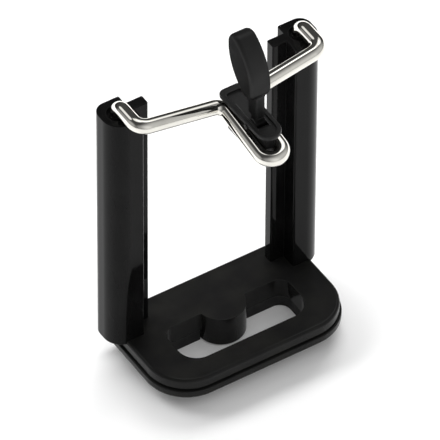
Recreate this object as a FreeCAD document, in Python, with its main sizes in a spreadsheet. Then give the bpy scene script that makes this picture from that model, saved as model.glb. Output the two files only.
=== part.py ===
"""Phone holder: a slotted base, two rails and a sprung wire bail with a shoe and a thumb tab.

Millimetres, +Z up, the front towards -Y. The origin is on the tripod thread's axis, on the underside.
"""
import math
import os
import re

import FreeCAD
import Part
import Sketcher

SIZES = {
    # Half the distance between the two rails' round sides, which sets the whole width
    "rail_spread": 19.6,
    # Base and its foot
    "base_thick": 7.0,
    "foot_height": 2.6,
    "foot_inset": 2.8,
    "lip_height": 1.8,
    "lip_overhang": 0.5,
    "lip_front": 16.0,
    "lip_corner": 9.0,
    "lip_step": 0.4,
    "lip_edge_round": 0.6,
    "shadow_gap": 0.35,
    "shadow_depth": 0.4,
    "base_edge_round": 0.7,
    "ring_width": 6.3,
    "slot_front": 10.7,
    "slot_back": 0.7,
    "slot_front_corner": 4.0,
    "slot_back_corner": 2.4,
    "boss_radius": 4.9,
    "boss_lift": 0.25,
    "foot_gap": 0.2,
    # Tripod insert
    "insert_radius": 4.0,
    "insert_length": 5.2,
    "insert_gap": 0.02,
    "insert_groove": 0.4,
    "insert_band": 2.0,
    "insert_end_gap": 0.2,
    "thread_radius": 2.55,
    "thread_mouth": 0.25,
    # Rails
    "rail_height": 57.94,
    "rail_depth": 7.8,
    "rail_front": 0.6,
    "front_jamb": 2.8,
    "back_jamb": 2.1,
    "rail_edge_round": 0.35,
    "flange_reach": 5.85,
    "flange_setback": 3.32,
    "flange_thick": 2.25,
    "rail_seat": 1.1,
    "seat_gap": 0.05,
    "tongue_width": 2.6,
    "tongue_depth": 2.6,
    "tongue_end_gap": 0.2,
    "bore_radius": 2.45,
    "guide_wall": 4.0,
    "guide_gap": 0.1,
    "plug_length": 3.0,
    "plug_gap": 0.02,
    # Bail
    "wire_radius": 1.5,
    "leg_offset": 0.5,
    "top_bend": 2.1,
    "top_rise": 2.2,
    "corner_reach": 3.6,
    "corner_bend": 2.2,
    "loop_half": 2.2,
    "loop_root_reach": 4.2,
    "loop_root_drop": 0.24,
    "loop_drop": 2.74,
    "root_bend": 2.2,
    "loop_reach": 17.0,
    "collar_radius": 2.25,
    "collar_length": 2.5,
    "collar_lift": 0.3,
    "collar_gap": 0.03,
    # Springs
    "spring_radius": 1.97,
    "spring_wire": 0.4,
    "spring_turns": 7.0,
    "spring_end_gap": 0.05,
    # Shoe
    "shoe_width": 5.5,
    "shoe_back_reach": 3.5,
    "shoe_front_reach": 18.8,
    "shoe_back_corner": 1.4,
    "shoe_rise": 4.9,
    "shoe_band": 1.6,
    "shoe_hull_bottom": 0.9,
    "shoe_taper": 24.0,
    "shoe_web": 2.4,
    "shoe_web_back": 6.0,
    "shoe_web_front": 17.0,
    "sole_width": 4.4,
    "sole_bottom": 2.3,
    "sole_top": 1.0,
    "wire_groove_gap": 0.05,
    "recess_width": 3.6,
    "recess_back_reach": 4.9,
    "recess_front_reach": 17.9,
    "recess_floor": 2.75,
    "recess_floor_half": 1.1,
    "recess_end_depth": 0.35,
    "recess_step": 0.7,
    "recess_step_run": 0.4,
    # Thumb tab and its pin
    "pivot_reach": 12.8,
    "pivot_rise": 3.85,
    "pin_radius": 0.5,
    "pin_gap": 0.02,
    "hub_radius": 1.0,
    "hub_thick": 2.4,
    "neck_half": 1.1,
    "neck_length": 8.4,
    "neck_start": 1.8,
    "head_back": 2.9,
    "head_height": 12.1,
    "head_lean": 28.0,
    "head_long": 7.0,
    "head_half": 3.5,
    "head_end": 2.3,
    "head_thick": 3.7,
    "head_edge_round": 0.7,
}

doc = FreeCAD.newDocument("phone_holder")
sheet = doc.addObject("Spreadsheet::Sheet", "Sizes")
for row, (alias, amount) in enumerate(SIZES.items(), start=1):
    sheet.set(f"A{row}", alias)
    sheet.set(f"B{row}", str(amount))
    sheet.setAlias(f"B{row}", alias)
doc.recompute()


def linked(expression):
    """The expression with each size's name pointed at its cell."""
    return re.sub(r"[a-z_]+", lambda word: "Sizes." + word.group() if word.group() in SIZES else word.group(),
                  expression)


def number(expression):
    """The present value of an expression of sizes."""
    return float(sheet.evalExpression(linked(expression)))


# Widths, heights and positions that several pieces share
LIP_HALF = "(rail_spread + lip_overhang)"
SLOT_HALF = "(rail_spread + lip_overhang - ring_width)"
FLANGE_INNER = "(rail_spread - flange_reach)"
JAMB_FRONT = "(rail_spread - front_jamb)"
JAMB_BACK = "(rail_spread - back_jamb)"
LEG_X = "(rail_spread + leg_offset)"
RAIL_BOTTOM = "(base_thick - rail_seat)"
RAIL_TOP = "(base_thick - rail_seat + rail_height)"
RAIL_BACK = "(rail_front + rail_depth)"
LEG_Y = "(rail_front + rail_depth / 2)"
FLANGE_FRONT = "(rail_front + flange_setback)"
FLANGE_BACK = "(rail_front + flange_setback + flange_thick)"
BORE_TOP = "(base_thick - rail_seat + rail_height - guide_wall)"
COLLAR_BOTTOM = "(base_thick - rail_seat + plug_length + collar_lift)"
LOOP_Z = "(base_thick - rail_seat + rail_height - loop_drop)"
PIVOT_Y = "(rail_front - pivot_reach)"
PIVOT_Z = "(base_thick - rail_seat + rail_height - loop_drop + pivot_rise)"
BLOCK_BOTTOM = "(foot_height + lip_height + shadow_gap)"


def near(first, second):
    return abs(first - second) < 1e-4


def new_body(label):
    body = doc.addObject("PartDesign::Body", label)
    body.Label = label
    return body


def new_sketch(body, name, role, offset="0"):
    """A sketch on one of the body's origin planes, moved along the plane's normal."""
    sketch = body.newObject("Sketcher::SketchObject", name)
    plane = next(feature for feature in body.Origin.OriginFeatures if feature.Role == role)
    sketch.AttachmentSupport = [(plane, "")]
    sketch.MapMode = "FlatFace"
    sketch.setExpression("AttachmentOffset.Base.z", linked(offset))
    return sketch


def pin_point(sketch, geometry, position, across, up):
    """Hold a point of the sketch at the two given expressions."""
    for kind, expression in (("DistanceX", across), ("DistanceY", up)):
        index = sketch.addConstraint(
            Sketcher.Constraint(kind, -1, 1, geometry, position, number(expression)))
        sketch.setExpression(f"Constraints[{index}]", linked(expression))


def add_outline(sketch, corners, centres=None):
    """A closed anticlockwise outline; a side with a centre is an arc round it."""
    centres = centres or {}
    spots = [FreeCAD.Vector(number(across), number(up), 0) for across, up in corners]
    first = sketch.GeometryCount
    total = len(corners)
    for side in range(total):
        start = spots[side]
        end = spots[(side + 1) % total]
        if side in centres:
            centre = FreeCAD.Vector(number(centres[side][0]), number(centres[side][1]), 0)
            circle = Part.Circle(centre, FreeCAD.Vector(0, 0, 1), (start - centre).Length)
            begin = math.atan2(start.y - centre.y, start.x - centre.x)
            finish = math.atan2(end.y - centre.y, end.x - centre.x)
            if finish <= begin:
                finish += 2 * math.pi
            sketch.addGeometry(Part.ArcOfCircle(circle, begin, finish), False)
        else:
            sketch.addGeometry(Part.LineSegment(start, end), False)
    for side in range(total):
        following = first + (side + 1) % total
        sketch.addConstraint(Sketcher.Constraint("Coincident", first + side, 2, following, 1))
    for side in range(total):
        pin_point(sketch, first + side, 1, *corners[side])
        if side in centres:
            level = near(spots[side].y, spots[(side + 1) % total].y)
            kind, expression = ("DistanceY", centres[side][1]) if level else ("DistanceX", centres[side][0])
            index = sketch.addConstraint(
                Sketcher.Constraint(kind, -1, 1, first + side, 3, number(expression)))
            sketch.setExpression(f"Constraints[{index}]", linked(expression))


def add_circle(sketch, across, up, radius):
    centre = FreeCAD.Vector(number(across), number(up), 0)
    geometry = sketch.addGeometry(Part.Circle(centre, FreeCAD.Vector(0, 0, 1), number(radius)), False)
    pin_point(sketch, geometry, 3, across, up)
    index = sketch.addConstraint(Sketcher.Constraint("Radius", geometry, number(radius)))
    sketch.setExpression(f"Constraints[{index}]", linked(radius))


def extrude(body, kind, sketch, length, backwards=False, both_ways=False, taper="0"):
    """A pad or a pocket of the sketch, of the given length, that widens by the angle of the taper."""
    feature = body.newObject("PartDesign::" + kind, sketch.Name + "_" + kind.lower())
    feature.Profile = sketch
    feature.setExpression("Length", linked(length))
    feature.Reversed = backwards
    if both_ways:
        feature.SideType = "Symmetric"
    else:
        feature.setExpression("TaperAngle", linked(taper))
    sketch.Visibility = False
    doc.recompute()
    return feature


def round_edges(body, name, feature, size, chosen):
    """Fillet the feature's edges that the test picks."""
    names = [f"Edge{place}" for place, edge in enumerate(feature.Shape.Edges, start=1) if chosen(edge)]
    rounded = body.newObject("PartDesign::Fillet", name)
    rounded.Base = (feature, names)
    rounded.setExpression("Radius", linked(size))
    doc.recompute()
    return rounded


def rounded_plan(half, front, back, front_corner):
    """A plan outline, square at the back and rounded at its two front corners."""
    corners = [
        (f"{front_corner} - ({half})", f"-({front})"),
        (f"({half}) - {front_corner}", f"-({front})"),
        (half, f"{front_corner} - ({front})"),
        (half, back),
        (f"-({half})", back),
        (f"-({half})", f"{front_corner} - ({front})"),
    ]
    centres = {
        1: (f"({half}) - {front_corner}", f"{front_corner} - ({front})"),
        5: (f"{front_corner} - ({half})", f"{front_corner} - ({front})"),
    }
    return corners, centres


def slot_plan():
    """The slot's plan, with larger rounds at the front corners."""
    front_round_x = f"({SLOT_HALF} - slot_front_corner)"
    back_round_x = f"({SLOT_HALF} - slot_back_corner)"
    front_round_y = "(slot_front_corner - slot_front)"
    back_round_y = "(-slot_back - slot_back_corner)"
    corners = [
        (f"-{front_round_x}", "-slot_front"),
        (front_round_x, "-slot_front"),
        (SLOT_HALF, front_round_y),
        (SLOT_HALF, back_round_y),
        (back_round_x, "-slot_back"),
        (f"-{back_round_x}", "-slot_back"),
        (f"-{SLOT_HALF}", back_round_y),
        (f"-{SLOT_HALF}", front_round_y),
    ]
    centres = {
        1: (front_round_x, front_round_y),
        3: (back_round_x, back_round_y),
        5: (f"-{back_round_x}", back_round_y),
        7: (f"-{front_round_x}", front_round_y),
    }
    return corners, centres


def mirrored(source, label):
    """The same piece on the other side of the middle plane."""
    twin = doc.addObject("Part::Mirroring", label)
    twin.Label = label
    twin.Source = source
    twin.Normal = FreeCAD.Vector(1, 0, 0)
    doc.recompute()
    return twin


def cylinder(name, radius, height, x="0", y="0", z="0"):
    piece = doc.addObject("Part::Cylinder", name)
    piece.setExpression("Radius", linked(radius))
    piece.setExpression("Height", linked(height))
    piece.setExpression("Placement.Base.x", linked(x))
    piece.setExpression("Placement.Base.y", linked(y))
    piece.setExpression("Placement.Base.z", linked(z))
    return piece


# Base: a block on a lip, with a shadow gap between, round a slot with the tripod boss at its back edge
base = new_body("base")
lip_plan = new_sketch(base, "lip_plan", "XY_Plane", "foot_height")
add_outline(lip_plan, *rounded_plan(LIP_HALF, "lip_front", RAIL_BACK, "lip_corner"))
lip = extrude(base, "Pad", lip_plan, "lip_height")


def is_level_at(height):
    """A test for the edges that lie at this height."""
    return lambda edge: all(near(vertex.Z, number(height)) for vertex in edge.Vertexes)


round_edges(base, "lip_edge", lip, "lip_edge_round", is_level_at("foot_height"))
gap_plan = new_sketch(base, "gap_plan", "XY_Plane", "foot_height + lip_height")
gap_inset = "(lip_step + shadow_depth)"
add_outline(gap_plan, *rounded_plan(f"{LIP_HALF} - {gap_inset}", f"lip_front - {gap_inset}",
                                    f"{RAIL_BACK} - {gap_inset}", f"(lip_corner - {gap_inset})"))
extrude(base, "Pad", gap_plan, "shadow_gap")
block_plan = new_sketch(base, "block_plan", "XY_Plane", BLOCK_BOTTOM)
add_outline(block_plan, *rounded_plan(f"{LIP_HALF} - lip_step", "lip_front - lip_step",
                                      f"{RAIL_BACK} - lip_step", "(lip_corner - lip_step)"))
block = extrude(base, "Pad", block_plan, f"base_thick - {BLOCK_BOTTOM}")
round_edges(base, "top_rim", block, "base_edge_round", is_level_at("base_thick"))
slot_cut = new_sketch(base, "slot_cut", "XY_Plane", "base_thick")
add_outline(slot_cut, *slot_plan())
extrude(base, "Pocket", slot_cut, "base_thick")
boss_plan = new_sketch(base, "boss_plan", "XY_Plane", "boss_lift")
add_circle(boss_plan, "0", "0", "boss_radius")
extrude(base, "Pad", boss_plan, "base_thick - boss_lift")
insert_bore = new_sketch(base, "insert_bore", "XY_Plane", "boss_lift")
add_circle(insert_bore, "0", "0", "insert_radius + insert_gap")
extrude(base, "Pocket", insert_bore, "insert_length + insert_end_gap", backwards=True)
seat_cut = new_sketch(base, "seat_cut", "XY_Plane", "base_thick")
tongue_cut = new_sketch(base, "tongue_cut", "XY_Plane", "base_thick - rail_seat")
for side in ("1", "-1"):
    add_outline(seat_cut, [
        (f"{side} * ({FLANGE_INNER} - seat_gap)", FLANGE_FRONT + " - seat_gap"),
        (f"{side} * ({JAMB_FRONT} - seat_gap)", FLANGE_FRONT + " - seat_gap"),
        (f"{side} * ({JAMB_FRONT} - seat_gap)", "rail_front - seat_gap"),
        (f"{side} * ({LIP_HALF} + lip_step)", "rail_front - seat_gap"),
        (f"{side} * ({LIP_HALF} + lip_step)", RAIL_BACK + " + lip_step"),
        (f"{side} * ({JAMB_BACK} - seat_gap)", RAIL_BACK + " + lip_step"),
        (f"{side} * ({JAMB_BACK} - seat_gap)", FLANGE_BACK + " + seat_gap"),
        (f"{side} * ({FLANGE_INNER} - seat_gap)", FLANGE_BACK + " + seat_gap"),
    ])
    add_outline(tongue_cut, [
        (f"{side} * ({FLANGE_INNER} - seat_gap)", FLANGE_FRONT + " - seat_gap"),
        (f"{side} * ({FLANGE_INNER} + tongue_width + seat_gap)", FLANGE_FRONT + " - seat_gap"),
        (f"{side} * ({FLANGE_INNER} + tongue_width + seat_gap)", FLANGE_BACK + " + seat_gap"),
        (f"{side} * ({FLANGE_INNER} - seat_gap)", FLANGE_BACK + " + seat_gap"),
    ])
extrude(base, "Pocket", seat_cut, "rail_seat")
extrude(base, "Pocket", tongue_cut, "tongue_depth + tongue_end_gap")

# Foot pad: a soft layer under the base, inset from the lip and open round the boss
foot_pad = new_body("foot_pad")
foot_plan = new_sketch(foot_pad, "foot_plan", "XY_Plane")
add_outline(foot_plan, *rounded_plan(f"{LIP_HALF} - foot_inset", "lip_front - foot_inset",
                                     RAIL_BACK + " - foot_inset", "(lip_corner - foot_inset)"))
extrude(foot_pad, "Pad", foot_plan, "foot_height")
foot_slot = new_sketch(foot_pad, "foot_slot", "XY_Plane", "foot_height")
add_outline(foot_slot, *slot_plan())
extrude(foot_pad, "Pocket", foot_slot, "foot_height")
foot_boss = new_sketch(foot_pad, "foot_boss", "XY_Plane", "foot_height")
add_circle(foot_boss, "0", "0", "boss_radius + foot_gap")
extrude(foot_pad, "Pocket", foot_boss, "foot_height")

# Tripod insert: a turned bush with a retaining groove and a countersunk thread mouth
tripod_insert = new_body("tripod_insert")
insert_profile = new_sketch(tripod_insert, "insert_profile", "XZ_Plane")
insert_top = "(boss_lift + insert_length)"
add_outline(insert_profile, [
    ("thread_radius + thread_mouth", "boss_lift"),
    ("insert_radius", "boss_lift"),
    ("insert_radius", "boss_lift + insert_band"),
    ("insert_radius - insert_groove", "boss_lift + insert_band"),
    ("insert_radius - insert_groove", f"{insert_top} - insert_band"),
    ("insert_radius", f"{insert_top} - insert_band"),
    ("insert_radius", insert_top),
    ("thread_radius", insert_top),
    ("thread_radius", "boss_lift + thread_mouth"),
])
insert_turn = tripod_insert.newObject("PartDesign::Revolution", "insert_turn")
insert_turn.Profile = insert_profile
insert_turn.ReferenceAxis = (insert_profile, ["V_Axis"])
insert_turn.Angle = 360
insert_profile.Visibility = False
doc.recompute()

# Rail: a bar with a round outer side, an inner flange, a tongue below and a bore for the bail's leg
rail_right = new_body("rail_right")
rail_plan = new_sketch(rail_right, "rail_plan", "XY_Plane", RAIL_BOTTOM)
add_outline(rail_plan, [
    (FLANGE_INNER, FLANGE_FRONT),
    (JAMB_FRONT, FLANGE_FRONT),
    (JAMB_FRONT, "rail_front"),
    ("rail_spread", "rail_front"),
    ("rail_spread", RAIL_BACK),
    (JAMB_BACK, RAIL_BACK),
    (JAMB_BACK, FLANGE_BACK),
    (FLANGE_INNER, FLANGE_BACK),
], {3: ("rail_spread", LEG_Y)})
rail_bar = extrude(rail_right, "Pad", rail_plan, "rail_height")


def is_rail_corner(edge):
    upright = near(edge.Vertexes[0].X, edge.Vertexes[-1].X) and near(edge.Vertexes[0].Y, edge.Vertexes[-1].Y)
    spot = edge.CenterOfMass
    free_corners = [
        (FLANGE_INNER, FLANGE_FRONT),
        (FLANGE_INNER, FLANGE_BACK),
        (JAMB_FRONT, "rail_front"),
        (JAMB_BACK, RAIL_BACK),
    ]
    return upright and any(near(spot.x, number(across)) and near(spot.y, number(up))
                           for across, up in free_corners)


round_edges(rail_right, "rail_corners", rail_bar, "rail_edge_round", is_rail_corner)
tongue_plan = new_sketch(rail_right, "tongue_plan", "XY_Plane", RAIL_BOTTOM + " - tongue_depth")
add_outline(tongue_plan, [
    (FLANGE_INNER + " + rail_edge_round", FLANGE_FRONT),
    (FLANGE_INNER + " + tongue_width", FLANGE_FRONT),
    (FLANGE_INNER + " + tongue_width", FLANGE_BACK),
    (FLANGE_INNER + " + rail_edge_round", FLANGE_BACK),
])
extrude(rail_right, "Pad", tongue_plan, "tongue_depth")
leg_bore = new_sketch(rail_right, "leg_bore", "XY_Plane", RAIL_BOTTOM)
add_circle(leg_bore, LEG_X, LEG_Y, "bore_radius")
extrude(rail_right, "Pocket", leg_bore, "rail_height - guide_wall", backwards=True)
guide_hole = new_sketch(rail_right, "guide_hole", "XY_Plane", RAIL_TOP)
add_circle(guide_hole, LEG_X, LEG_Y, "wire_radius + guide_gap")
extrude(rail_right, "Pocket", guide_hole, "guide_wall + guide_gap")
rail_left = mirrored(rail_right, "rail_left")

rail_plug_right = cylinder("rail_plug_right", "bore_radius - plug_gap", "plug_length", LEG_X, LEG_Y,
                           RAIL_BOTTOM)
rail_plug_left = mirrored(rail_plug_right, "rail_plug_left")

# Stop collar: a crimped ring on the end of each leg
collar_outside = cylinder("collar_outside", "collar_radius", "collar_length", LEG_X, LEG_Y, COLLAR_BOTTOM)
collar_inside = cylinder("collar_inside", "wire_radius + collar_gap", "collar_length", LEG_X, LEG_Y,
                         COLLAR_BOTTOM)
stop_collar_right = doc.addObject("Part::Cut", "stop_collar_right")
stop_collar_right.Base = collar_outside
stop_collar_right.Tool = collar_inside
doc.recompute()
stop_collar_left = mirrored(stop_collar_right, "stop_collar_left")


def bent_path(points, radii):
    """Straight runs through the points, joined by tangent bends of the given radii."""
    edges = []
    last = points[0]
    for place in range(1, len(points) - 1):
        corner = points[place]
        inward = (points[place - 1] - corner).normalize()
        outward = (points[place + 1] - corner).normalize()
        half = inward.getAngle(outward) / 2
        radius = radii[place - 1]
        setback = radius / math.tan(half)
        start = corner + inward * setback
        end = corner + outward * setback
        middle_line = (inward + outward).normalize()
        centre = corner + middle_line * (radius / math.sin(half))
        if (start - last).Length > 1e-4:
            edges.append(Part.LineSegment(last, start).toShape())
        edges.append(Part.Arc(start, centre - middle_line * radius, end).toShape())
        last = end
    edges.append(Part.LineSegment(last, points[-1]).toShape())
    return Part.Wire(edges)


def round_rod(path, radius):
    """A round bar of the given radius along the path."""
    edge = path.OrderedEdges[0]
    start = edge.valueAt(edge.FirstParameter)
    ring = Part.Wire([Part.Circle(start, edge.tangentAt(edge.FirstParameter), radius).toShape()])
    return path.makePipeShell([ring], True, True)


leg_x = number(LEG_X)
leg_y = number(LEG_Y)
front_y = SIZES["rail_front"]
run_z = number(RAIL_TOP) + SIZES["top_rise"]
root_z = number(RAIL_TOP) - SIZES["loop_root_drop"]
half_path = [
    FreeCAD.Vector(leg_x, leg_y, number(COLLAR_BOTTOM)),
    FreeCAD.Vector(leg_x, leg_y, run_z),
    FreeCAD.Vector(leg_x, front_y - SIZES["corner_reach"], run_z),
    FreeCAD.Vector(SIZES["loop_half"], front_y - SIZES["loop_root_reach"], root_z),
    FreeCAD.Vector(SIZES["loop_half"], front_y - SIZES["loop_reach"] - SIZES["loop_half"], number(LOOP_Z)),
]
other_half = [FreeCAD.Vector(-point.x, point.y, point.z) for point in reversed(half_path)]
half_bends = [SIZES["top_bend"], SIZES["corner_bend"], SIZES["root_bend"], SIZES["loop_half"]]
bail_path = bent_path(half_path + other_half, half_bends + half_bends[::-1])
bail = doc.addObject("Part::Feature", "bail")
bail.Shape = round_rod(bail_path, SIZES["wire_radius"])

# Springs of square wire, from each collar up to the guide wall
half_wire = SIZES["spring_wire"] / 2
spring_bottom = number(COLLAR_BOTTOM + " + collar_length + spring_end_gap")
spring_rise = number(BORE_TOP + " - spring_end_gap") - spring_bottom - SIZES["spring_wire"]
springs = {}
for label, across in (("spring_right", leg_x), ("spring_left", -leg_x)):
    helix = Part.Wire(Part.makeHelix(spring_rise / SIZES["spring_turns"], spring_rise, SIZES["spring_radius"]))
    section = Part.makePolygon([
        FreeCAD.Vector(SIZES["spring_radius"] + out * half_wire, 0, up * half_wire)
        for out, up in ((-1, -1), (1, -1), (1, 1), (-1, 1), (-1, -1))
    ])
    springs[label] = doc.addObject("Part::Feature", label)
    springs[label].Shape = helix.makePipeShell([section], True, True)
    springs[label].Placement.Base = FreeCAD.Vector(across, leg_y, spring_bottom + half_wire)

# Shoe: a boat with a narrowing hull on top of the loop, a web between its legs and a sole below
shoe_body = new_body("shoe_body")
shoe_plan = new_sketch(shoe_body, "shoe_plan", "XY_Plane", LOOP_Z + " + shoe_rise - shoe_band")
bow = "(rail_front - shoe_front_reach + shoe_width / 2)"
stern = "(rail_front - shoe_back_reach)"
add_outline(shoe_plan, [
    ("-shoe_width / 2", bow),
    ("shoe_width / 2", bow),
    ("shoe_width / 2", stern + " - shoe_back_corner"),
    ("shoe_width / 2 - shoe_back_corner", stern),
    ("shoe_back_corner - shoe_width / 2", stern),
    ("-shoe_width / 2", stern + " - shoe_back_corner"),
], {
    0: ("0", bow),
    2: ("shoe_width / 2 - shoe_back_corner", stern + " - shoe_back_corner"),
    4: ("shoe_back_corner - shoe_width / 2", stern + " - shoe_back_corner"),
})
extrude(shoe_body, "Pad", shoe_plan, "shoe_band")
extrude(shoe_body, "Pad", shoe_plan, "shoe_rise - shoe_band - shoe_hull_bottom", backwards=True,
        taper="-shoe_taper")
web_plan = new_sketch(shoe_body, "web_plan", "XY_Plane", LOOP_Z + " - sole_top")
add_outline(web_plan, [
    ("-shoe_web / 2", "rail_front - shoe_web_front"),
    ("shoe_web / 2", "rail_front - shoe_web_front"),
    ("shoe_web / 2", "rail_front - shoe_web_back"),
    ("-shoe_web / 2", "rail_front - shoe_web_back"),
])
extrude(shoe_body, "Pad", web_plan, "sole_top + shoe_rise - shoe_band")
sole_plan = new_sketch(shoe_body, "sole_plan", "XY_Plane", LOOP_Z + " - sole_bottom")
add_outline(sole_plan, [
    ("-sole_width / 2", "rail_front - shoe_web_front"),
    ("sole_width / 2", "rail_front - shoe_web_front"),
    ("sole_width / 2", "rail_front - shoe_web_back"),
    ("-sole_width / 2", "rail_front - shoe_web_back"),
])
extrude(shoe_body, "Pad", sole_plan, "sole_bottom - sole_top")
recess_side = new_sketch(shoe_body, "recess_side", "YZ_Plane")
add_outline(recess_side, [
    ("rail_front - recess_front_reach", LOOP_Z + " + shoe_rise + recess_end_depth"),
    ("rail_front - recess_front_reach", LOOP_Z + " + shoe_rise - recess_end_depth"),
    (PIVOT_Y + " - recess_floor_half - recess_step_run", LOOP_Z + " + recess_floor + recess_step"),
    (PIVOT_Y + " - recess_floor_half", LOOP_Z + " + recess_floor"),
    (PIVOT_Y + " + recess_floor_half", LOOP_Z + " + recess_floor"),
    ("rail_front - recess_back_reach", LOOP_Z + " + shoe_rise - recess_end_depth"),
    ("rail_front - recess_back_reach", LOOP_Z + " + shoe_rise + recess_end_depth"),
])
extrude(shoe_body, "Pocket", recess_side, "recess_width", both_ways=True)
pin_hole = new_sketch(shoe_body, "pin_hole", "YZ_Plane")
add_circle(pin_hole, PIVOT_Y, PIVOT_Z, "pin_radius + pin_gap")
extrude(shoe_body, "Pocket", pin_hole, "shoe_width * 2", both_ways=True)
loop_space = doc.addObject("Part::Feature", "loop_space")
loop_space.Shape = round_rod(bail_path, SIZES["wire_radius"] + SIZES["wire_groove_gap"])
shoe = doc.addObject("Part::Cut", "shoe")
shoe.Base = shoe_body
shoe.Tool = loop_space
doc.recompute()

# Thumb tab: an oval head that leans back from an upright neck, with a hub on the pin
thumb_tab = new_body("thumb_tab")
head_side = new_sketch(thumb_tab, "head_side", "YZ_Plane")
head_side.AttachmentOffset = FreeCAD.Placement(
    FreeCAD.Vector(), FreeCAD.Rotation(FreeCAD.Vector(0, 0, 1), -SIZES["head_lean"]))
head_side.setExpression("AttachmentOffset.Base.x", linked("head_back"))
head_side.setExpression("AttachmentOffset.Base.y", linked("head_height"))
end_z = "(head_long - head_end)"
side_radius = f"(({end_z}^2 / (head_half - head_end) + head_end + head_half) / 2)"
side_y = f"({side_radius} - head_half)"
meet_y = f"({side_y} * head_end / ({side_radius} - head_end))"
meet_z = f"({end_z} * {side_radius} / ({side_radius} - head_end))"
add_outline(head_side, [
    (meet_y, f"-{meet_z}"),
    (meet_y, meet_z),
    (f"-{meet_y}", meet_z),
    (f"-{meet_y}", f"-{meet_z}"),
], {
    0: (f"-{side_y}", "0"),
    1: ("0", end_z),
    2: (side_y, "0"),
    3: ("0", f"-{end_z}"),
})
head = extrude(thumb_tab, "Pad", head_side, "head_thick", both_ways=True)
head_face = number("head_thick / 2")
round_edges(thumb_tab, "head_edge", head, "head_edge_round",
            lambda edge: all(near(abs(vertex.X), head_face) for vertex in edge.Vertexes)
            and near(edge.Vertexes[0].X, edge.Vertexes[-1].X))
neck_side = new_sketch(thumb_tab, "neck_side", "YZ_Plane")
add_outline(neck_side, [
    ("-neck_half", "neck_start"),
    ("neck_half", "neck_start"),
    ("neck_half", "neck_length"),
    ("-neck_half", "neck_length"),
])
extrude(thumb_tab, "Pad", neck_side, "hub_thick", both_ways=True)
hub_side = new_sketch(thumb_tab, "hub_side", "YZ_Plane")
add_outline(hub_side, [
    ("-hub_radius", "0"),
    ("hub_radius", "0"),
    ("hub_radius", "neck_start + hub_radius"),
    ("-hub_radius", "neck_start + hub_radius"),
], {0: ("0", "0")})
extrude(thumb_tab, "Pad", hub_side, "hub_thick", both_ways=True)
hub_hole = new_sketch(thumb_tab, "hub_hole", "YZ_Plane")
add_circle(hub_hole, "0", "0", "pin_radius + 2 * pin_gap")
extrude(thumb_tab, "Pocket", hub_hole, "shoe_width * 2", both_ways=True)
thumb_tab.setExpression("Placement.Base.y", linked(PIVOT_Y))
thumb_tab.setExpression("Placement.Base.z", linked(PIVOT_Z))

tab_pin = cylinder("tab_pin", "pin_radius", "shoe_width", "-shoe_width / 2", PIVOT_Y, PIVOT_Z)
tab_pin.Placement.Rotation = FreeCAD.Rotation(FreeCAD.Vector(0, 1, 0), 90)
doc.recompute()

NODES = [
    base, foot_pad, tripod_insert, rail_left, rail_right, rail_plug_left, rail_plug_right, bail,
    stop_collar_left, stop_collar_right, springs["spring_left"], springs["spring_right"],
    shoe, thumb_tab, tab_pin,
]
for item in doc.Objects:
    if "Invalid" in item.State or "Error" in item.State:
        raise RuntimeError(f"{item.Label} did not build: {item.State}")
os.makedirs("parts", exist_ok=True)
for node in NODES:
    if node.Shape.isNull() or not node.Shape.isValid():
        raise RuntimeError(f"{node.Label} has no valid shape")
    node.Shape.exportStep(f"parts/{node.Label}.step")
    print(node.Label, round(node.Shape.Volume, 2), len(node.Shape.Solids))
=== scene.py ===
"""Looks for the phone holder: base, rails, bright wire bail, shoe and thumb tab, on a white studio floor."""
import math

import bmesh
import bpy
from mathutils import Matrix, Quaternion, Vector


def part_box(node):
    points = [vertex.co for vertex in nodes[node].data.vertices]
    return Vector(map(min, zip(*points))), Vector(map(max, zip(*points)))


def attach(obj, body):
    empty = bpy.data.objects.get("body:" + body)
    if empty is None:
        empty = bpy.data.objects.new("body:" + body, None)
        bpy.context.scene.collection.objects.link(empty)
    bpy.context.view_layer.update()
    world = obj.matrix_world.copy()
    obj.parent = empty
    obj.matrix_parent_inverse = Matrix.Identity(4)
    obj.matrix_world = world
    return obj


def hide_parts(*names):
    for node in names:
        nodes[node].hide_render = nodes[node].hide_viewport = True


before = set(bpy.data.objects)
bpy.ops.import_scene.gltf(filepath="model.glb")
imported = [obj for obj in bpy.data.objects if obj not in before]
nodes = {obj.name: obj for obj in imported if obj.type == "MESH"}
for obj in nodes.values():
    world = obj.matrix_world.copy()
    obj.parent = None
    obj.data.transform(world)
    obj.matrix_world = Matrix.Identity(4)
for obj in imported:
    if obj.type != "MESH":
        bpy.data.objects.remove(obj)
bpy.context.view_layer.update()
MM = 0.001
SAME_PLACE = 0.001 * MM
MERGE_WITHIN = 0.002 * MM

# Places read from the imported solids, in metres
BASE_LOW, BASE_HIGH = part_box("base")
FOOT_LOW, FOOT_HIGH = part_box("foot_pad")
RAIL_LOW, RAIL_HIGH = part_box("rail_right")
SHOE_LOW, SHOE_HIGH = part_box("shoe")
PIN_LOW, PIN_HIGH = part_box("tab_pin")
INSERT_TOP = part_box("tripod_insert")[1].z
LEG_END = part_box("bail")[0].z
PIVOT = (PIN_LOW + PIN_HIGH) / 2
RAIL_FRONT = RAIL_LOW.y
RAIL_BACK = RAIL_HIGH.y
RAIL_MIDDLE = (RAIL_FRONT + RAIL_BACK) / 2
RAIL_RADIUS = (RAIL_BACK - RAIL_FRONT) / 2
RAIL_CENTRE = RAIL_HIGH.x - RAIL_RADIUS
RAIL_TOP = RAIL_HIGH.z
RAIL_BOTTOM = BASE_HIGH.z - 1.1 * MM


def deselect():
    """Leave edit mode with nothing selected."""
    if bpy.context.object and bpy.context.object.mode != "OBJECT":
        bpy.ops.object.mode_set(mode="OBJECT")
    bpy.ops.object.select_all(action="DESELECT")


def only(piece):
    """Make this piece the one that operators act on."""
    deselect()
    piece.select_set(True)
    bpy.context.view_layer.objects.active = piece


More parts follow.
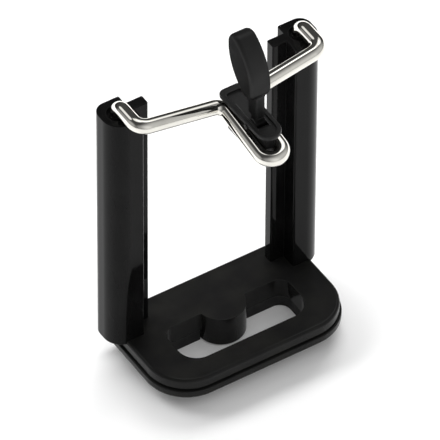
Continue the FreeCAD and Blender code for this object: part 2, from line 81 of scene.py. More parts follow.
def settle(piece):
    """Put the piece's place and size into its mesh, with its object at the origin."""
    only(piece)
    bpy.ops.object.transform_apply(location=True, rotation=True, scale=True)
    return piece


def named(name):
    """Name the primitive that was just added, and settle it."""
    piece = bpy.context.object
    piece.name = name
    piece.data.name = name
    return settle(piece)


def everything(*_):
    """The test that every vertex, edge and face passes."""
    return True


def pick(piece, kind, test):
    """In edit mode, select what passes the test, by place, middle and edge, or middle and normal."""
    only(piece)
    bpy.ops.object.mode_set(mode="EDIT")
    bpy.ops.mesh.select_mode(type=kind)
    bpy.ops.mesh.select_all(action="DESELECT")
    mesh = bmesh.from_edit_mesh(piece.data)
    if kind == "VERT":
        for vertex in mesh.verts:
            vertex.select_set(test(vertex.co))
    elif kind == "EDGE":
        for edge in mesh.edges:
            edge.select_set(test((edge.verts[0].co + edge.verts[1].co) / 2, edge))
    else:
        for face in mesh.faces:
            face.select_set(test(face.calc_center_median(), face.normal))
    mesh.select_flush_mode()
    bmesh.update_edit_mesh(piece.data)


def done():
    """Leave edit mode."""
    bpy.ops.object.mode_set(mode="OBJECT")


def push(step):
    """Extrude what is selected by a step."""
    bpy.ops.mesh.extrude_region_move(TRANSFORM_OT_translate={"value": step})


def face_outwards(piece):
    """Merge doubles and turn every face outwards."""
    pick(piece, "FACE", everything)
    bpy.ops.mesh.remove_doubles(threshold=MERGE_WITHIN)
    bpy.ops.mesh.normals_make_consistent(inside=False)
    done()


def thicken(piece, step):
    """Push a flat outline out by a step, to a solid."""
    pick(piece, "FACE", everything)
    push(step)
    done()
    face_outwards(piece)


def plate(name, low, high, z):
    """A flat rectangle between two corners, as the start of a moulding."""
    deselect()
    centre = ((low[0] + high[0]) / 2, (low[1] + high[1]) / 2, z)
    bpy.ops.mesh.primitive_plane_add(size=1, location=centre)
    bpy.context.object.scale = (high[0] - low[0], high[1] - low[1], 1)
    return named(name)


def block(name, low, high):
    """A square block between two corners, as a tool for joining or cutting."""
    piece = plate(name, low, high, low[2])
    thicken(piece, (0, 0, high[2] - low[2]))
    return piece


def drum(name, centre, radius, low, high, sides=96):
    """An upright cylinder, as a tool for joining or cutting."""
    deselect()
    bpy.ops.mesh.primitive_cylinder_add(vertices=sides, radius=radius, depth=high - low,
                                        location=(centre[0], centre[1], (low + high) / 2))
    return named(name)


def axle(name, radius, half):
    """A cylinder across the middle plane at the pin, as a tool for joining or cutting."""
    deselect()
    bpy.ops.mesh.primitive_cylinder_add(vertices=48, radius=radius, depth=2 * half, location=PIVOT,
                                        rotation=(0, math.pi / 2, 0))
    return named(name)


def start_point(name, spot):
    """One vertex at a place, picked in edit mode, as the start of an outline."""
    deselect()
    bpy.ops.mesh.primitive_plane_add(size=MM)
    piece = named(name)
    pick(piece, "VERT", everything)
    bpy.ops.mesh.merge(type="CENTER")
    bpy.ops.transform.translate(value=spot)
    return piece


def draw_on(step):
    """Carry an outline on from its last vertex by a step."""
    bpy.ops.mesh.extrude_vertices_move(TRANSFORM_OT_translate={"value": step})


def draw_through(spots):
    """Carry an outline on from the first place, where it ends, through the others."""
    for spot, following in zip(spots, spots[1:]):
        draw_on(following - spot)


def sweep(turn, steps, centre, axis):
    """Carry an outline or a ring on round a centre. The angle is negative because spin turns clockwise."""
    bpy.ops.mesh.spin(steps=steps, angle=-turn, center=centre, axis=axis)


def fill(piece):
    """Merge the two ends of an outline and fill it with a face."""
    done()
    pick(piece, "VERT", everything)
    bpy.ops.mesh.remove_doubles(threshold=MERGE_WITHIN)
    bpy.ops.mesh.edge_face_add()
    done()


def round_corners(piece, test, radius, segments):
    """Round the picked corners of a flat outline."""
    pick(piece, "VERT", test)
    bpy.ops.mesh.bevel(offset=radius, offset_type="OFFSET", segments=segments, affect="VERTICES")
    done()


def round_level_edges(piece, height, radius, segments=4):
    """Round the edges of the piece that lie at this height."""
    pick(piece, "EDGE", lambda middle, edge: all(abs(end.co.z - height) < SAME_PLACE for end in edge.verts))
    bpy.ops.mesh.bevel(offset=radius, offset_type="OFFSET", segments=segments, affect="EDGES")
    done()


def combine(piece, tool, operation="DIFFERENCE", keep_tool=False):
    """Cut the piece with the tool, or join them, as a boolean modifier that is applied."""
    only(piece)
    modifier = piece.modifiers.new("combine", "BOOLEAN")
    modifier.object = tool
    modifier.operation = operation
    modifier.solver = "EXACT"
    bpy.ops.object.modifier_apply(modifier=modifier.name)
    if not keep_tool:
        bpy.data.objects.remove(tool)


def shade(piece):
    """Smooth shading on curves, with the large flat faces kept flat."""
    only(piece)
    bpy.ops.object.shade_smooth_by_angle(angle=math.radians(35))
    modifier = piece.modifiers.new("even", "WEIGHTED_NORMAL")
    modifier.keep_sharp = True
    modifier.weight = 100
    bpy.ops.object.modifier_apply(modifier=modifier.name)


def soften(piece, width):
    """A small rounded edge on every sharp corner, and smooth shading."""
    only(piece)
    modifier = piece.modifiers.new("edge", "BEVEL")
    modifier.width = width
    modifier.segments = 2
    modifier.limit_method = "ANGLE"
    modifier.angle_limit = math.radians(35)
    modifier.use_clamp_overlap = False
    bpy.ops.object.modifier_apply(modifier=modifier.name)
    shade(piece)


def twin(piece, name):
    """The same piece on the other side of the middle plane, with a mesh of its own."""
    only(piece)
    bpy.ops.object.duplicate()
    copy = bpy.context.object
    copy.name = name
    copy.data.name = name
    copy.scale.x = -1
    settle(copy)
    face_outwards(copy)
    shade(copy)
    return copy


def place(piece, body, material, node):
    """Let the piece ride on its body, stand for its CAD node and take its finish."""
    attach(piece, body)
    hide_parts(node)
    piece.data.materials.clear()
    piece.data.materials.append(material)


# Finishes
def finish_tree(name):
    """A new material, with its nodes and its shader."""
    material = bpy.data.materials.new(name)
    material.use_nodes = True
    tree = material.node_tree
    return material, tree, tree.nodes["Principled BSDF"]


def grain(tree, scale, detail=3.0):
    """Fine noise in object space, as a number from 0 to 1."""
    spot = tree.nodes.new("ShaderNodeTexCoord")
    noise = tree.nodes.new("ShaderNodeTexNoise")
    noise.inputs["Scale"].default_value = scale
    noise.inputs["Detail"].default_value = detail
    tree.links.new(spot.outputs["Object"], noise.inputs["Vector"])
    return noise.outputs["Fac"]


def spread(tree, source, low, high, start=0.0, end=1.0):
    """Map the range from start to end of a number to the range from low to high."""
    node = tree.nodes.new("ShaderNodeMapRange")
    node.inputs["From Min"].default_value = start
    node.inputs["From Max"].default_value = end
    node.inputs["To Min"].default_value = low
    node.inputs["To Max"].default_value = high
    tree.links.new(source, node.inputs["Value"])
    return node.outputs["Result"]


def bump(tree, shader, source, depth, strength):
    """Let a number raise the surface, as a grain or fine marks do."""
    node = tree.nodes.new("ShaderNodeBump")
    node.inputs["Distance"].default_value = depth
    node.inputs["Strength"].default_value = strength
    tree.links.new(source, node.inputs["Height"])
    tree.links.new(node.outputs["Normal"], shader.inputs["Normal"])


def uneven_gloss(tree, shader, scale, rough):
    """Let the roughness vary in patches between two values."""
    patches = spread(tree, grain(tree, scale), rough[0], rough[1], 0.3, 0.7)
    tree.links.new(patches, shader.inputs["Roughness"])


def wear_and_highlight_edges(tree, edge):
    """Edges, as a number from 0 on flats to 1 where the surface turns sharply, used to paint paler edges
    that are partly wear and partly painted highlight.
    """
    shape = tree.nodes.new("ShaderNodeNewGeometry")
    rounded = tree.nodes.new("ShaderNodeBevel")
    rounded.samples = 6
    rounded.inputs["Radius"].default_value = edge
    agreement = tree.nodes.new("ShaderNodeVectorMath")
    agreement.operation = "DOT_PRODUCT"
    tree.links.new(rounded.outputs["Normal"], agreement.inputs[0])
    tree.links.new(shape.outputs["Normal"], agreement.inputs[1])
    return spread(tree, agreement.outputs["Value"], 1.0, 0.0, 0.75, 0.99)


def two_tone(tree, source, dark, light):
    """Blend two close colours by a number, for slight variation."""
    ramp = tree.nodes.new("ShaderNodeValToRGB")
    for stop, position, colour in zip(ramp.color_ramp.elements, (0.35, 0.65), (dark, light)):
        stop.color = (*colour, 1)
        stop.position = position
    tree.links.new(source, ramp.inputs["Fac"])
    return ramp.outputs["Color"]


def blend(tree, share, first, second_colour):
    """Move a colour towards a fixed one by a share."""
    mix = tree.nodes.new("ShaderNodeMix")
    mix.data_type = "RGBA"
    tree.links.new(share, mix.inputs["Factor"])
    tree.links.new(first, mix.inputs["A"])
    mix.inputs["B"].default_value = (*second_colour, 1)
    return mix.outputs["Result"]


def black_plastic(name, dark, light, rough, grain_scale, depth, sheen, edge=0.3 * MM):
    """Moulded black plastic: slight colour change, uneven gloss, a faint grain and paler edges, partly wear
    and partly a painted highlight where light catches them.
    """
    material, tree, shader = finish_tree(name)
    colour = two_tone(tree, grain(tree, 180), dark, light)
    # Paler colour for the edges: partly wear, partly a painted highlight standing in for light caught on
    # them
    wear_and_highlight_tint = tuple(3 * part for part in light)
    tree.links.new(blend(tree, wear_and_highlight_edges(tree, edge), colour, wear_and_highlight_tint), shader.inputs["Base Color"])
    uneven_gloss(tree, shader, 420, rough)
    shader.inputs["Specular IOR Level"].default_value = sheen
    bump(tree, shader, grain(tree, grain_scale, 5), depth, 0.4)
    return material


def soft_sheen(material):
    """Let the gloss fade where the surface is seen edge on, as a fine moulded texture does."""
    tree = material.node_tree
    sheen = tree.nodes["Principled BSDF"].inputs["Specular IOR Level"]
    slant = tree.nodes.new("ShaderNodeLayerWeight")
    tree.links.new(spread(tree, slant.outputs["Facing"], sheen.default_value, 0.02, 0.2, 0.55), sheen)


def metal(name, colour, rough, scale, depth):
    """Metal with slight tarnish, uneven polish and fine marks."""
    material, tree, shader = finish_tree(name)
    shader.inputs["Metallic"].default_value = 1.0
    tarnish = tuple(0.9 * part for part in colour)
    tree.links.new(two_tone(tree, grain(tree, 240), tarnish, colour), shader.inputs["Base Color"])
    uneven_gloss(tree, shader, 600, rough)
    bump(tree, shader, grain(tree, scale, 4), depth, 0.3)
    return material


rail_gloss = black_plastic("rail_gloss_black", (0.004, 0.004, 0.004), (0.006, 0.006, 0.006),
                           rough=(0.04, 0.08), grain_scale=900, depth=0.002 * MM, sheen=0.09)
base_gloss = black_plastic("base_gloss_black", (0.009, 0.009, 0.009), (0.013, 0.013, 0.012),
                           rough=(0.14, 0.24), grain_scale=1600, depth=0.004 * MM, sheen=0.14)
shoe_satin = black_plastic("shoe_satin_black", (0.009, 0.009, 0.009), (0.014, 0.014, 0.014),
                           rough=(0.3, 0.42), grain_scale=2200, depth=0.006 * MM, sheen=0.2)
# The tab's wide edge band gives a broad paler rim: partly wear, partly a painted highlight on its rounded
# edges
tab_satin = black_plastic("tab_satin_black", (0.006, 0.006, 0.006), (0.01, 0.01, 0.01),
                          rough=(0.4, 0.52), grain_scale=2200, depth=0.008 * MM, sheen=0.35, edge=1.2 * MM)
soft_sheen(tab_satin)
plug_matt = black_plastic("plug_matt_black", (0.012, 0.012, 0.012), (0.02, 0.02, 0.02),
                          rough=(0.5, 0.65), grain_scale=1800, depth=0.01 * MM, sheen=0.4)
foot_matt = black_plastic("foot_rubber_black", (0.012, 0.012, 0.012), (0.02, 0.02, 0.02),
                          rough=(0.6, 0.8), grain_scale=2600, depth=0.02 * MM, sheen=0.3)
bail_chrome = metal("bail_bright_chrome", (0.88, 0.86, 0.8), rough=(0.03, 0.07), scale=1400,
                    depth=0.0015 * MM)
small_steel = metal("small_parts_steel", (0.55, 0.55, 0.56), rough=(0.25, 0.4), scale=2000,
                    depth=0.004 * MM)
pin_dark = metal("pin_dark_steel", (0.05, 0.05, 0.05), rough=(0.3, 0.45), scale=2000,
                 depth=0.004 * MM)
insert_brass = metal("insert_brass", (0.72, 0.52, 0.22), rough=(0.22, 0.36), scale=2000,
                     depth=0.004 * MM)

for node, material in (("spring_left", small_steel), ("spring_right", small_steel),
                       ("stop_collar_left", small_steel), ("stop_collar_right", small_steel),
                       ("tab_pin", pin_dark), ("rail_plug_left", plug_matt), ("rail_plug_right", plug_matt),
                       ("tripod_insert", insert_brass)):
    nodes[node].data.materials.clear()
    nodes[node].data.materials.append(material)

# Rails: an outline with a large round in front, a smaller one behind, jambs and a flange, raised to a bar
LEG_X = RAIL_CENTRE + 0.5 * MM
JAMB_FRONT = RAIL_CENTRE - 2.8 * MM
JAMB_BACK = RAIL_CENTRE - 2.1 * MM
FLANGE_FRONT = RAIL_FRONT + 3.32 * MM
FLANGE_BACK = FLANGE_FRONT + 2.25 * MM
FLANGE_INNER = RAIL_LOW.x
BACK_ROUND = 2.45 * MM
ROUND_START = RAIL_HIGH.x - BACK_ROUND
QUARTER = math.pi / 2
UPRIGHT = (0, 0, 1)
inner_flange_corners = [Vector((FLANGE_INNER, y, RAIL_BOTTOM)) for y in (FLANGE_BACK, FLANGE_FRONT)]
back_jamb_corner = Vector((JAMB_BACK, RAIL_BACK, RAIL_BOTTOM))
front_jamb_corner = Vector((JAMB_FRONT, RAIL_FRONT, RAIL_BOTTOM))
sharp_corners = [back_jamb_corner, *inner_flange_corners, front_jamb_corner]
rail_spots = [
    Vector((ROUND_START, RAIL_BACK, RAIL_BOTTOM)),
    back_jamb_corner,
    Vector((JAMB_BACK, FLANGE_BACK, RAIL_BOTTOM)),
    *inner_flange_corners,
    Vector((JAMB_FRONT, FLANGE_FRONT, RAIL_BOTTOM)),
    front_jamb_corner,
    Vector((RAIL_CENTRE, RAIL_FRONT, RAIL_BOTTOM)),
]
rail_right = start_point("rail_right_bar", rail_spots[0])
draw_through(rail_spots)
sweep(QUARTER, 24, (RAIL_CENTRE, RAIL_MIDDLE, RAIL_BOTTOM), UPRIGHT)
draw_on((0, RAIL_RADIUS - BACK_ROUND, 0))
sweep(QUARTER, 18, (ROUND_START, RAIL_BACK - BACK_ROUND, RAIL_BOTTOM), UPRIGHT)
fill(rail_right)
round_corners(rail_right, lambda spot: any((spot - corner).length < SAME_PLACE for corner in sharp_corners),
              0.35 * MM, 5)
thicken(rail_right, (0, 0, RAIL_TOP - RAIL_BOTTOM))
round_level_edges(rail_right, RAIL_TOP, 0.22 * MM, 3)
round_level_edges(rail_right, RAIL_BOTTOM, 0.3 * MM, 3)
for hole, radius, low, high, sides in (
        ("guide_mouth", 2.2 * MM, RAIL_TOP - 0.7 * MM, RAIL_TOP + MM, 64),
        ("leg_bore", 2.45 * MM, RAIL_BOTTOM - MM, RAIL_TOP - 4 * MM, 64),
        ("guide_hole", 1.6 * MM, RAIL_TOP - 5 * MM, RAIL_TOP + MM, 48)):
    combine(rail_right, drum(hole, (LEG_X, RAIL_MIDDLE), radius, low, high, sides))
combine(rail_right, block("rail_tongue", (FLANGE_INNER + 0.4 * MM, FLANGE_FRONT + 0.02 * MM, RAIL_LOW.z),
                          (FLANGE_INNER + 2.6 * MM, FLANGE_BACK - 0.02 * MM, RAIL_BOTTOM + MM)), "UNION")
shade(rail_right)
rail_left = twin(rail_right, "rail_left_bar")

# Base: three slabs, of which the middle one is set back as a shadow gap, with a slot and a boss
LIP_HALF = BASE_HIGH.x + 1.1 * MM
LIP_BACK = BASE_HIGH.y + 0.6 * MM
LIP_LOW = FOOT_HIGH.z
LIP_HIGH = LIP_LOW + 1.8 * MM
GAP_HIGH = LIP_HIGH + 0.35 * MM
GAP_INSET = 0.8 * MM
GAP_OVERLAP = 0.5 * MM
TOP_INSET = 0.4 * MM
CORNER = 9 * MM
SLOT_HALF = BASE_HIGH.x - 6.3 * MM
SLOT_FRONT = -10.7 * MM
SLOT_BACK = -0.7 * MM
BOSS_RADIUS = 4.9 * MM
INSERT_RADIUS = 4.02 * MM
BOSS_AXIS = (0, 0)


def slab(name, half, front, back, corner, low, high):
    """A slab with rounded front corners, from one height to another."""
    piece = plate(name, (-half, front), (half, back), low)
    round_corners(piece, lambda spot: spot.y < (front + back) / 2, corner, 20)
    thicken(piece, (0, 0, high - low))
    return piece


def slot_tool(name, low, high):
    """The slot's shape as a cutter, with larger rounds at the front."""
    piece = plate(name, (-SLOT_HALF, SLOT_FRONT), (SLOT_HALF, SLOT_BACK), low)
    round_corners(piece, lambda spot: spot.y > (SLOT_FRONT + SLOT_BACK) / 2, 2.4 * MM, 10)
    round_corners(piece, lambda spot: spot.y < SLOT_FRONT + MM, 4 * MM, 14)
    thicken(piece, (0, 0, high - low))
    return piece


def base_slab(name, inset, low, high):
    """One of the base's slabs, drawn in from the lip's outline by an inset."""
    return slab(name, LIP_HALF - inset, BASE_LOW.y + inset, LIP_BACK - inset, CORNER - inset, low, high)


base = base_slab("base_moulding", 0, LIP_LOW, LIP_HIGH)
round_level_edges(base, LIP_LOW, 0.6 * MM)
round_level_edges(base, LIP_HIGH, 0.25 * MM)
gap_slab = base_slab("shadow_gap", GAP_INSET, LIP_HIGH - GAP_OVERLAP, GAP_HIGH + GAP_OVERLAP)
top_slab = base_slab("top_slab", TOP_INSET, GAP_HIGH, BASE_HIGH.z)
round_level_edges(top_slab, BASE_HIGH.z, 0.7 * MM, 5)
round_level_edges(top_slab, GAP_HIGH, 0.15 * MM, 2)
combine(base, gap_slab, "UNION")
combine(base, top_slab, "UNION")
base_slot = slot_tool("base_slot", -MM, BASE_HIGH.z + MM)
combine(base_slot, drum("boss", BOSS_AXIS, BOSS_RADIUS, -2 * MM, BASE_HIGH.z + 2 * MM))
combine(base, base_slot)
combine(base, drum("boss_foot", BOSS_AXIS, BOSS_RADIUS, BASE_LOW.z, LIP_LOW), "UNION")
combine(base, drum("insert_bore", BOSS_AXIS, INSERT_RADIUS, -MM, INSERT_TOP + 0.2 * MM))
combine(base, rail_right, keep_tool=True)
combine(base, rail_left, keep_tool=True)
soften(base, 0.12 * MM)

# Foot pad: a soft layer under the base, open round the boss
foot_pad = slab("foot_pad_layer", FOOT_HIGH.x, FOOT_LOW.y, FOOT_HIGH.y, CORNER - 2.8 * MM, 0, FOOT_HIGH.z)
round_level_edges(foot_pad, 0, 0.4 * MM)
combine(foot_pad, slot_tool("foot_slot", -MM, FOOT_HIGH.z + MM))
combine(foot_pad, drum("foot_boss", BOSS_AXIS, BOSS_RADIUS + 0.2 * MM, -MM, FOOT_HIGH.z + MM))
soften(foot_pad, 0.1 * MM)

# Bail: a ring pushed along each straight run and swept round each bend
WIRE = 1.5 * MM
LOOP_HALF = 2.2 * MM
RUN_Z = RAIL_TOP + 2.2 * MM
CORNER_Y = RAIL_FRONT - 3.6 * MM
LOOP_ROOT = Vector((LOOP_HALF, RAIL_FRONT - 4.2 * MM, RAIL_TOP - 0.6 * MM))
LOOP_TIP = Vector((LOOP_HALF, RAIL_FRONT - 19.2 * MM, RAIL_TOP - 3.0 * MM))
right_half = [
    Vector((LEG_X, RAIL_MIDDLE, LEG_END)),
    Vector((LEG_X, RAIL_MIDDLE, RUN_Z)),
    Vector((LEG_X, CORNER_Y, RUN_Z)),
    LOOP_ROOT,
    LOOP_TIP,
]
left_half = [Vector((-spot.x, spot.y, spot.z)) for spot in reversed(right_half)]
wire_path = right_half + left_half
half_bends = [2.1 * MM, 2.2 * MM, 2.2 * MM, 2.2 * MM]
wire_bends = half_bends + half_bends[::-1]


def bent_rod(name, radius):
    """A round bar along the wire's path, with a tangent bend at each corner."""
    deselect()
    heading = (wire_path[1] - wire_path[0]).normalized()
    bpy.ops.mesh.primitive_circle_add(vertices=36, radius=radius, location=wire_path[0], fill_type="NGON",
                                      rotation=heading.to_track_quat("Z", "Y").to_euler())
    rod = named(name)
    # The disc stays as the first end, and an open ring on top of it goes along the path
    pick(rod, "VERT", everything)
    bpy.ops.mesh.duplicate()
    bpy.ops.mesh.delete(type="ONLY_FACE")
    done()
    pick(rod, "EDGE", lambda middle, edge: not edge.link_faces)
    last = wire_path[0]
    for before, corner, after, bend in zip(wire_path, wire_path[1:], wire_path[2:], wire_bends):
        inward = (before - corner).normalized()
        outward = (after - corner).normalized()
        half = inward.angle(outward) / 2
        setback = bend / math.tan(half)
        start = corner + inward * setback
        centre = corner + (inward + outward).normalized() * (bend / math.sin(half))
        if (start - last).length > SAME_PLACE:
            bpy.ops.mesh.extrude_edges_move(TRANSFORM_OT_translate={"value": start - last})
        turn = math.pi - 2 * half
        sweep(turn, max(4, round(math.degrees(turn) / 6)), centre, (-inward).cross(outward).normalized())
        last = corner + outward * setback
    bpy.ops.mesh.extrude_edges_move(TRANSFORM_OT_translate={"value": wire_path[-1] - last})
    bpy.ops.mesh.edge_face_add()
    done()
    face_outwards(rod)
    only(rod)
    bpy.ops.object.shade_smooth_by_angle(angle=math.radians(40))
    return rod


bail = bent_rod("bail_wire", WIRE)

# Shoe: a boat with an overhanging rim and a narrowing hull, a web between the loop's legs and a sole below
RIM = SHOE_HIGH.z
BAND = RIM - 0.8 * MM
TRAY = RIM - 0.5 * MM
SHOE_HALF = SHOE_HIGH.x
BOW = SHOE_LOW.y
STERN = SHOE_HIGH.y + 0.6 * MM
SOLE_HALF = 2.2 * MM
SOLE_TOP = LOOP_TIP.z - MM
WEB_HALF = 1.2 * MM
WEB_TOP = RIM - 1.9 * MM
WEB_FRONT = RAIL_FRONT - 17 * MM
WEB_BACK = RAIL_FRONT - 6 * MM
WEB_INSET = 0.1 * MM
RECESS_HALF = 1.9 * MM
RECESS_FRONT = RAIL_FRONT - 17.9 * MM
RECESS_BACK = RAIL_FRONT - 4.4 * MM
PIT_HALF = 1.25 * MM
PIT_FLOOR = PIVOT.z - 1.1 * MM
PIT_FRONT = PIVOT.y - 2.6 * MM
PIT_BACK = PIVOT.y + 6 * MM
PIT_LIP = RIM + 0.5 * MM
PIN_HOLE_RADIUS = 0.52 * MM
PIN_HOLE_HALF = 1.4 * MM


def narrow_bow(outline, share):
    """Draw in the front end of a flat outline, so that its sides run together towards the bow."""
    pick(outline, "VERT", lambda spot: spot.y < PIVOT.y)
    bpy.ops.transform.resize(value=(share, 1, 1), center_override=(0, 0, 0))
    done()


shoe = plate("shoe_boat", (-SHOE_HALF, BOW), (SHOE_HALF, STERN), BAND)
round_corners(shoe, lambda spot: spot.y > STERN - MM, 1.4 * MM, 8)
round_corners(shoe, lambda spot: spot.y < BOW + MM, SHOE_HALF - 0.08 * MM, 14)
narrow_bow(shoe, 0.92)
thicken(shoe, (0, 0, RIM - BAND))
pick(shoe, "FACE", lambda middle, normal: normal.z < -0.9)
bpy.ops.mesh.inset(thickness=0.95 * MM, depth=0.1 * MM)
bpy.ops.mesh.inset(thickness=0.2 * MM, depth=3.1 * MM)
done()
sole = block("shoe_sole", (-SOLE_HALF, WEB_FRONT, SHOE_LOW.z), (SOLE_HALF, WEB_BACK, SOLE_TOP))
web = block("shoe_web", (-WEB_HALF, WEB_FRONT + WEB_INSET, SOLE_TOP - 0.5 * MM),
            (WEB_HALF, WEB_BACK - WEB_INSET, WEB_TOP))
combine(sole, web, "UNION")
combine(shoe, sole, "UNION")

# The recess is a shallow tray with a sloping pit for the tab's hub
recess = plate("recess", (-RECESS_HALF, RECESS_FRONT), (RECESS_HALF, RECESS_BACK), RIM + MM)
round_corners(recess, lambda spot: spot.y > RECESS_BACK - MM, 0.9 * MM, 6)
round_corners(recess, lambda spot: spot.y < RECESS_FRONT + MM, RECESS_HALF - 0.07 * MM, 12)
narrow_bow(recess, 0.9)
thicken(recess, (0, 0, TRAY - RIM - MM))
pit_spots = [Vector((-PIT_HALF, y, z)) for y, z in (
    (PIT_FRONT, PIT_LIP),
    (PIT_FRONT, TRAY),
    (PIVOT.y - 1.35 * MM, RIM - 1.25 * MM),
    (PIVOT.y - 1.2 * MM, PIT_FLOOR),
    (PIVOT.y + 1.1 * MM, PIT_FLOOR),
    (PIT_BACK, TRAY),
    (PIT_BACK, PIT_LIP),
)]
pit = start_point("recess_pit", pit_spots[0])
draw_through(pit_spots + pit_spots[:1])
fill(pit)
thicken(pit, (2 * PIT_HALF, 0, 0))
combine(recess, pit, "UNION")
combine(shoe, recess)
combine(shoe, axle("pin_hole", PIN_HOLE_RADIUS, PIN_HOLE_HALF))
combine(shoe, bent_rod("loop_space", WIRE + 0.05 * MM))
soften(shoe, 0.16 * MM)

# Thumb tab: an oval drawn by four arcs, thickened and leant back, on a neck with a hub
HEAD_END = 2.3 * MM
HEAD_SIDE = 3.5 * MM
HEAD_REACH = 6.7 * MM
HEAD_HALF = 2.25 * MM
HEAD_ROUND = 0.95 * MM
HEAD_LEAN = math.radians(28)
HEAD_CENTRE = PIVOT + Vector((0, 3.0 * MM, 12.35 * MM))
NECK_HALF = 0.95 * MM
TAB_ROOT_HALF = 0.9 * MM
HUB_RADIUS = MM
HUB_HALF = 1.2 * MM
HUB_HOLE_RADIUS = 0.54 * MM
end_z = HEAD_REACH - HEAD_END
side_radius = (end_z ** 2 / (HEAD_SIDE - HEAD_END) + HEAD_END + HEAD_SIDE) / 2
side_y = side_radius - HEAD_SIDE
meet = Vector((-HEAD_HALF, side_y * HEAD_END / (side_radius - HEAD_END),
               -end_z * side_radius / (side_radius - HEAD_END)))
side_turn = 2 * math.atan2(-meet.z, meet.y + side_y)
end_turn = math.pi - side_turn
tab = start_point("thumb_tab_paddle", meet)
for turn, centre in ((side_turn, (-side_y, 0)), (end_turn, (0, end_z)), (side_turn, (side_y, 0)),
                     (end_turn, (0, -end_z))):
    sweep(turn, 22, (-HEAD_HALF, *centre), (1, 0, 0))
fill(tab)
thicken(tab, (2 * HEAD_HALF, 0, 0))
pick(tab, "EDGE", lambda middle, edge: abs(edge.verts[0].co.x - edge.verts[1].co.x) < SAME_PLACE)
bpy.ops.mesh.bevel(offset=HEAD_ROUND, offset_type="OFFSET", segments=6, affect="EDGES")
done()
pick(tab, "VERT", everything)
bpy.ops.transform.rotate(value=HEAD_LEAN, orient_axis="X", center_override=(0, 0, 0))
bpy.ops.transform.translate(value=HEAD_CENTRE)
done()
neck = block("tab_neck", (-NECK_HALF, PIVOT.y - 0.95 * MM, PIVOT.z + 1.6 * MM),
             (NECK_HALF, PIVOT.y + 1.9 * MM, PIVOT.z + 8.4 * MM))
combine(neck, block("tab_root", (-NECK_HALF, PIVOT.y - TAB_ROOT_HALF, PIVOT.z),
                    (NECK_HALF, PIVOT.y + TAB_ROOT_HALF, PIVOT.z + 2 * MM)), "UNION")
combine(neck, axle("tab_hub", HUB_RADIUS, HUB_HALF), "UNION")
combine(tab, neck, "UNION")
combine(tab, axle("hub_hole", HUB_HOLE_RADIUS, 4 * MM))
soften(tab, 0.2 * MM)

place(base, "holder", base_gloss, "base")
place(foot_pad, "holder", foot_matt, "foot_pad")
place(rail_left, "holder", rail_gloss, "rail_left")
place(rail_right, "holder", rail_gloss, "rail_right")
place(bail, "bail", bail_chrome, "bail")
place(shoe, "bail", shoe_satin, "shoe")
place(tab, "tab", tab_satin, "thumb_tab")

# Floor
FLOOR_SIZE = 6
FLOOR_DROP = 0.05 * MM
deselect()
bpy.ops.mesh.primitive_plane_add(size=FLOOR_SIZE, location=(0, 0, -FLOOR_DROP))
floor = bpy.context.object
floor.name = "floor"
floor_material, _, floor_shader = finish_tree("floor_white")
floor_shader.inputs["Base Color"].default_value = (0.93, 0.93, 0.93, 1)
floor_shader.inputs["Roughness"].default_value = 0.9
floor_shader.inputs["Specular IOR Level"].default_value = 0.0
floor_shader.inputs["Emission Color"].default_value = (1, 1, 1, 1)
floor_shader.inputs["Emission Strength"].default_value = 0.06
floor.data.materials.append(floor_material)

# Studio: a dark room with soft bright panels, which the wire and the gloss of the plastic reflect
world = bpy.data.worlds.new("studio")
bpy.context.scene.world = world
world.use_nodes = True
room_tree = world.node_tree
room_direction = room_tree.nodes.new("ShaderNodeTexCoord").outputs["Generated"]


def panel(direction, strength, inner, outer):
    """A soft bright patch round a direction, full within one angle and gone beyond the other."""
    towards = room_tree.nodes.new("ShaderNodeVectorMath")
    towards.operation = "DOT_PRODUCT"
    room_tree.links.new(room_direction, towards.inputs[0])
    towards.inputs[1].default_value = Vector(direction).normalized()
    patch = spread(room_tree, towards.outputs["Value"], 0.0, strength, math.cos(math.radians(outer)),
                   math.cos(math.radians(inner)))
    patch.node.interpolation_type = "SMOOTHSTEP"
    return patch


def total(parts):
    """The sum of several numbers."""
    result = parts[0]
    for part in parts[1:]:
        add = room_tree.nodes.new("ShaderNodeMath")
        room_tree.links.new(result, add.inputs[0])
        room_tree.links.new(part, add.inputs[1])
        result = add.outputs["Value"]
    return result


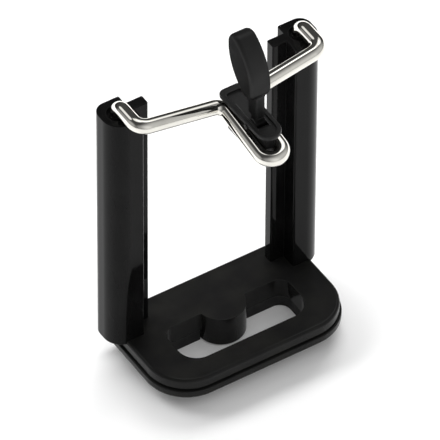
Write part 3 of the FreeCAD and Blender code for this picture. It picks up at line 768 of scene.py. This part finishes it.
room = total([
    panel((0.62, 0.28, 0.73), 1.0, 9, 17),
    panel((0.35, 0.28, 0.9), 1.0, 9, 17),
    panel((0.02, 0.28, 0.96), 1.0, 9, 17),
    panel((-0.38, 0.6, 0.7), 0.9, 8, 15),
    panel((0.5, -0.8, 0.2), 0.5, 15, 75),
    panel((-0.35, -0.9, 0.2), 0.3, 15, 55),
    panel((-0.9, 0.2, 0.15), 0.4, 12, 40),
    panel((0, 0, 1), 0.06, 60, 100),
])
backdrop = room_tree.nodes["Background"]
backdrop.inputs["Color"].default_value = (1, 1, 1, 1)
room_tree.links.new(room, backdrop.inputs["Strength"])


def softbox(name, spot, width, height, power):
    """A lamp that faces the base, and that reflections don't show."""
    light = bpy.data.lights.new(name, "AREA")
    light.shape = "RECTANGLE"
    light.size = width
    light.size_y = height
    light.energy = power
    lamp = bpy.data.objects.new(name, light)
    bpy.context.scene.collection.objects.link(lamp)
    lamp.location = spot
    lamp.rotation_mode = "QUATERNION"
    lamp.rotation_quaternion = (Vector((0, 0, 20 * MM)) - Vector(spot)).to_track_quat("-Z", "Y")
    lamp.visible_glossy = False


softbox("back_softbox", spot=(0.1, 0.76, 0.82), width=2.2, height=0.35, power=20.5)
softbox("top_softbox", spot=(-0.1, -0.4, 1.1), width=0.9, height=0.9, power=2.3)

# Camera
REFERENCE = Vector((0, 0.6 * MM, 35.14 * MM))
AZIMUTH = math.radians(-32.8)
ELEVATION = math.radians(44.8)
ROLL = math.radians(0.34)
DISTANCE = 1.667
back = Vector((math.sin(AZIMUTH) * math.cos(ELEVATION), -math.cos(AZIMUTH) * math.cos(ELEVATION),
               math.sin(ELEVATION)))
camera = bpy.data.objects.new("camera", bpy.data.cameras.new("camera"))
bpy.context.scene.collection.objects.link(camera)
camera.location = REFERENCE + back * DISTANCE
camera.rotation_mode = "QUATERNION"
camera.rotation_quaternion = (-back).to_track_quat("-Z", "Y") @ Quaternion((0, 0, 1), ROLL)
camera.data.sensor_width = 36
camera.data.lens = 725.2
camera.data.shift_x = 0.0004
camera.data.shift_y = -0.0574
camera.data.clip_start = 0.01
camera.data.clip_end = 10
bpy.context.scene.camera = camera
bpy.context.scene.view_settings.view_transform = "Standard"
